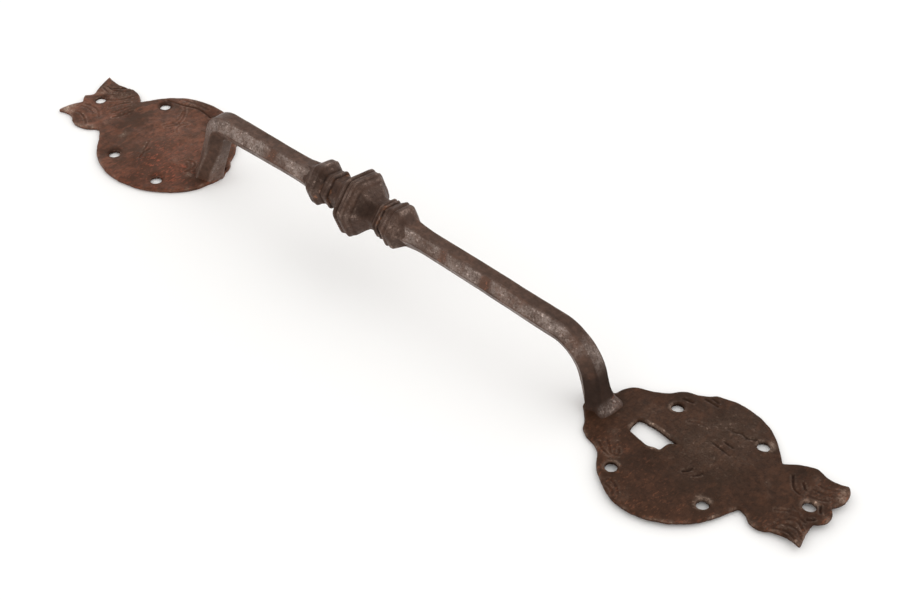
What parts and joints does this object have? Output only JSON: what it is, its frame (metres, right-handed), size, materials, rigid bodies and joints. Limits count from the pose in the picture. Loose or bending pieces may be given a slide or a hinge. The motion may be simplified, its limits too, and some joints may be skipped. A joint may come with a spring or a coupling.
{
  "type": "door pull handle",
  "caption": "Hand-forged iron door pull: hexagonal grip with bent legs and a knopped middle, riveted to two onion-shaped plates, one with a keyhole.",
  "frame": {"origin": "middle of the back plane, halfway between the two leaf tips and on the centre line of the plates", "axes": "+X along the grip from the upper plate to the lower plate, which has the keyhole; +Z away from the door, towards the hand; +Y across the door pull"},
  "size_m": [0.427, 0.0766, 0.0487],
  "materials": {
    "bar_iron": "forged wrought iron, dark brown-grey patina, worn grey on the facets, fine pitting",
    "collar_iron": "forged wrought iron, dark brown patina, orange rust in the seams",
    "upper_plate_iron": "hammered wrought-iron sheet, red-brown rust patina",
    "lower_plate_iron": "hammered wrought-iron sheet, dark brown rust patina"
  },
  "bodies": {
    "root": {"grip_bar": "bar_iron", "upper_plate": "upper_plate_iron", "lower_plate": "lower_plate_iron", "centre_knop": "collar_iron", "upper_knop": "collar_iron", "lower_knop": "collar_iron", "upper_ring": "collar_iron", "lower_ring": "collar_iron"}
  },
  "joints": []
}
